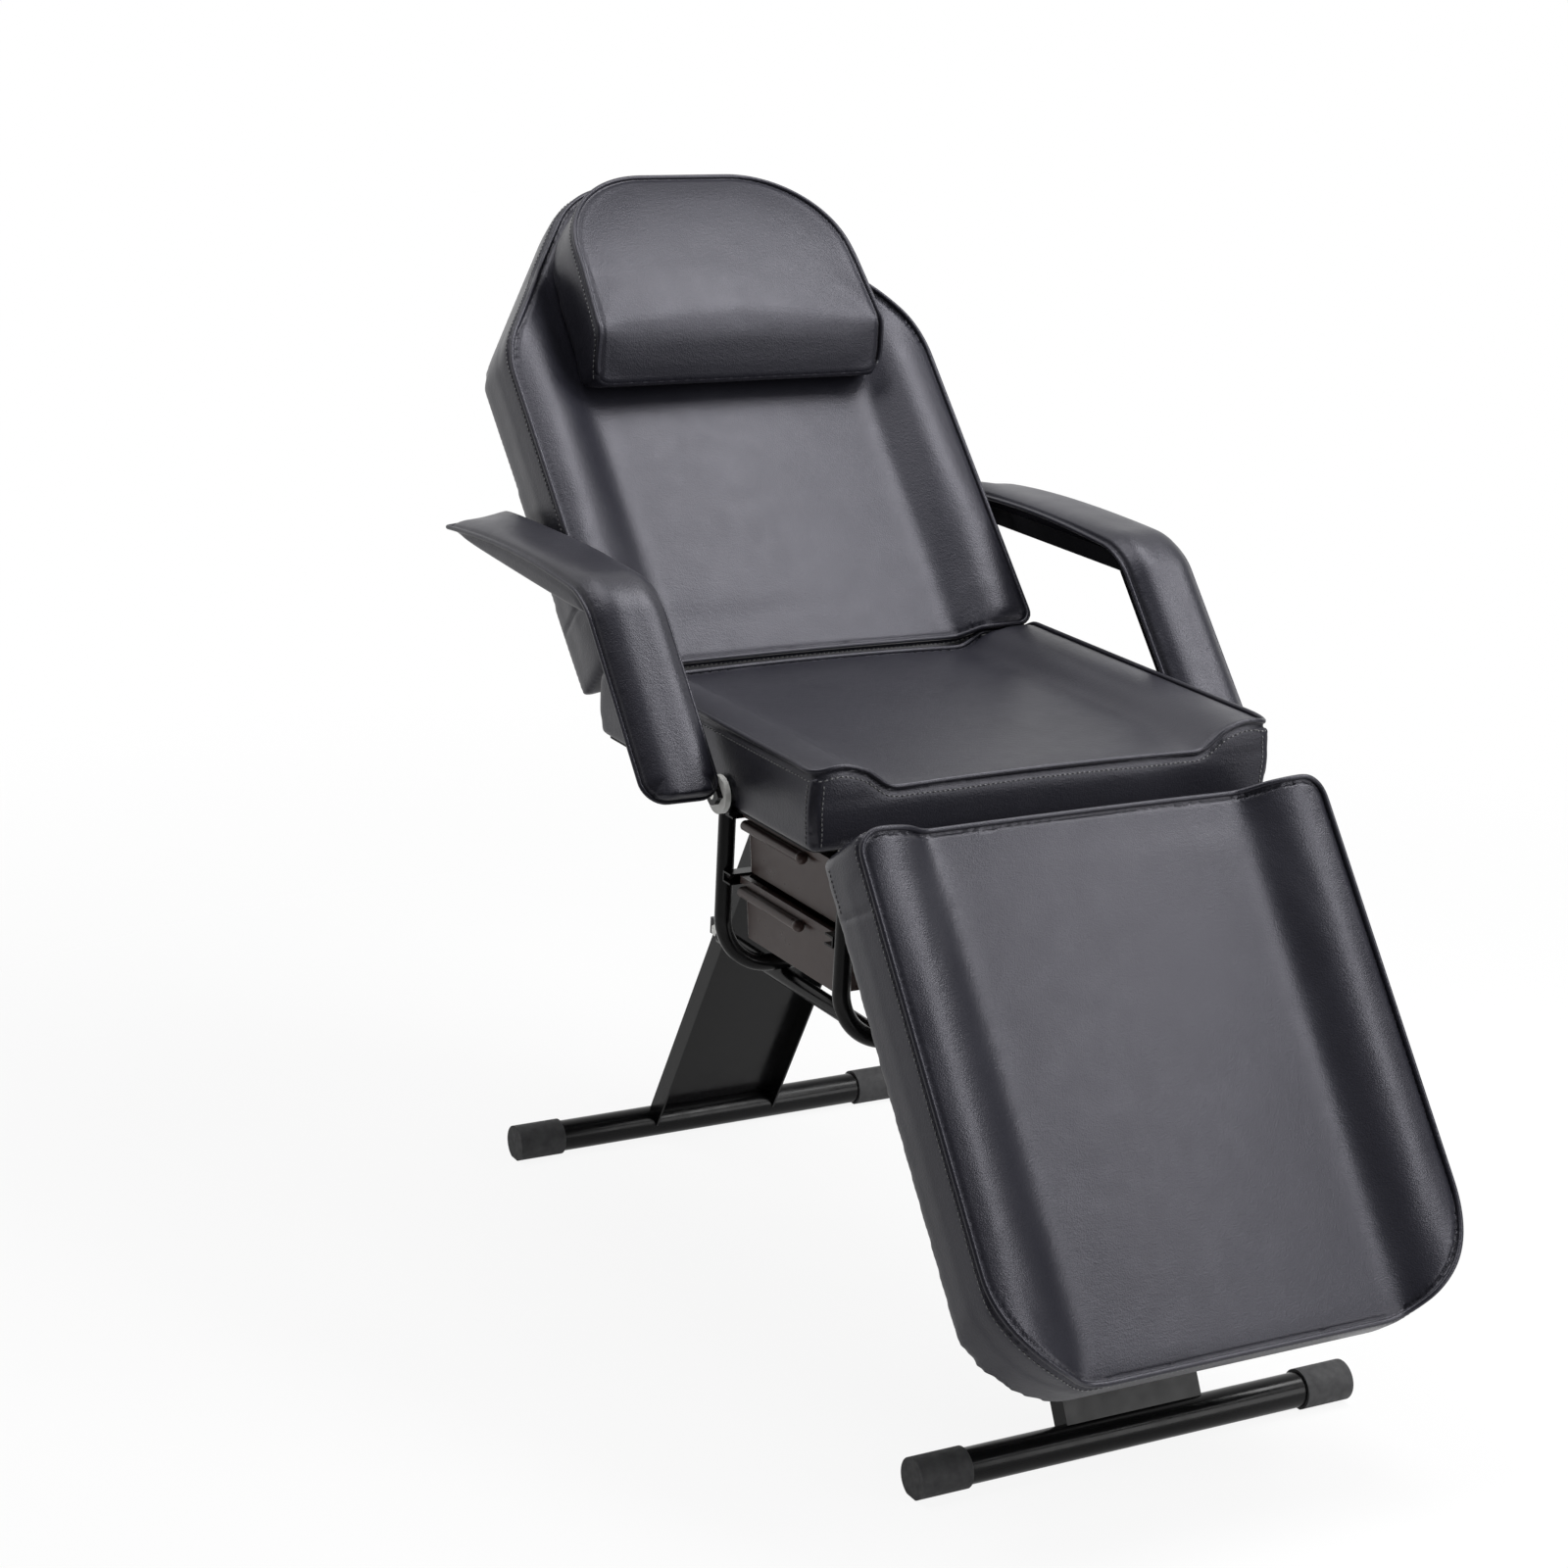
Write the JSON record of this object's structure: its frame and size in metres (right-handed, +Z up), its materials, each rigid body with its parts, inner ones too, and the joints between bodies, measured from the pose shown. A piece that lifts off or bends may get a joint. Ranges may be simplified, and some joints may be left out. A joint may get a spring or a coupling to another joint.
{
  "type": "massage bed",
  "caption": "Adjustable massage and treatment bed: hinged back rest and leg rest, swinging arm rests, head pillow and pull-out trays on a steel trestle base",
  "frame": {"origin": "on the floor, under the middle of the bed's overall length and width as it stands", "axes": "+X to the left of a person who sits on the bed, +Y towards the head end, +Z up"},
  "size_m": [0.784, 1.4061, 1.188],
  "materials": {
    "upholstery": "satin black vinyl leather over foam",
    "plywood": "plywood under black lining",
    "black_steel": "gloss black powder coat",
    "zinc": "zinc plated",
    "nylon": "white nylon",
    "plastic": "smooth black plastic",
    "rubber": "matte black rubber"
  },
  "bodies": {
    "base": {"rear_foot_tube": "black_steel", "front_foot_tube": "black_steel", "rear_foot_cap_left": "rubber", "rear_foot_cap_right": "rubber", "front_foot_cap_left": "rubber", "front_foot_cap_right": "rubber", "rear_leg": "black_steel", "front_leg": "black_steel", "rear_cross_tube": "black_steel", "front_cross_tube": "black_steel", "rear_hoop": "black_steel", "front_hoop": "black_steel", "left_frame_rail": "black_steel", "right_frame_rail": "black_steel", "left_side_stay": "black_steel", "right_side_stay": "black_steel", "stay_bolts": "zinc", "stay_nuts": "zinc", "seat_board": "plywood", "seat_cushion": "upholstery", "left_arm_tab": "black_steel", "right_arm_tab": "black_steel", "arm_pivot_bolts": "zinc", "arm_pivot_washers": "nylon", "back_hinge_seat_leaf_left": "zinc", "back_hinge_seat_leaf_right": "zinc", "leg_hinge_seat_leaf_left": "zinc", "leg_hinge_seat_leaf_right": "zinc", "back_hinge_pins": "zinc", "leg_hinge_pins": "zinc", "back_ratchet_wheels": "zinc", "leg_ratchet_wheels": "zinc", "upper_runner_rear": "black_steel", "upper_runner_front": "black_steel", "lower_runner_rear": "black_steel", "lower_runner_front": "black_steel", "runner_screws": "zinc"},
    "back_rest": {"back_board": "plywood", "back_cushion": "upholstery", "arm_slide_bolts": "zinc", "arm_slide_washers": "nylon", "back_hinge_swing_leaf_left": "zinc", "back_hinge_swing_leaf_right": "zinc"},
    "leg_rest": {"leg_board": "plywood", "leg_cushion": "upholstery", "leg_hinge_swing_leaf_left": "zinc", "leg_hinge_swing_leaf_right": "zinc"},
    "left_arm": {"left_arm_plate": "black_steel", "left_arm_pad": "upholstery"},
    "right_arm": {"right_arm_plate": "black_steel", "right_arm_pad": "upholstery"},
    "pillow": {"head_pillow": "upholstery"},
    "upper_drawer": {"upper_tray": "plastic", "upper_tray_pull": "plastic"},
    "lower_drawer": {"lower_tray": "plastic", "lower_tray_pull": "plastic"}
  },
  "joints": [
    {"name": "back_recline", "type": "hinge", "parent": "base", "child": "back_rest", "pos_m": [0, 0.2161, 0.645], "axis": [-1, 0, 0], "range_deg": [-3, 46.6]},
    {"name": "leg_raise", "type": "hinge", "parent": "base", "child": "leg_rest", "pos_m": [0, -0.2899, 0.603], "axis": [-1, 0, 0], "range_deg": [0, 52.8]},
    {"name": "left_arm_swing", "type": "hinge", "parent": "base", "child": "left_arm", "pos_m": [0, -0.0989, 0.624], "axis": [-1, 0, 0], "range_deg": [-1.7, 19.8]},
    {"name": "right_arm_swing", "type": "hinge", "parent": "base", "child": "right_arm", "pos_m": [0, -0.0989, 0.624], "axis": [-1, 0, 0], "range_deg": [-1.7, 19.8]},
    {"name": "pillow_lift_off", "type": "slide", "parent": "back_rest", "child": "pillow", "axis": [0, -0.7266, 0.6871], "range_m": [0, 0.15]},
    {"name": "upper_drawer_slide", "type": "slide", "parent": "base", "child": "upper_drawer", "axis": [-1, 0, 0], "range_m": [0, 0.22]},
    {"name": "lower_drawer_slide", "type": "slide", "parent": "base", "child": "lower_drawer", "axis": [-1, 0, 0], "range_m": [0, 0.22]}
  ],
  "couplings": [
    {"joint": "left_arm_swing", "follows": "back_recline", "ratio": 0.414},
    {"joint": "right_arm_swing", "follows": "back_recline", "ratio": 0.414}
  ]
}
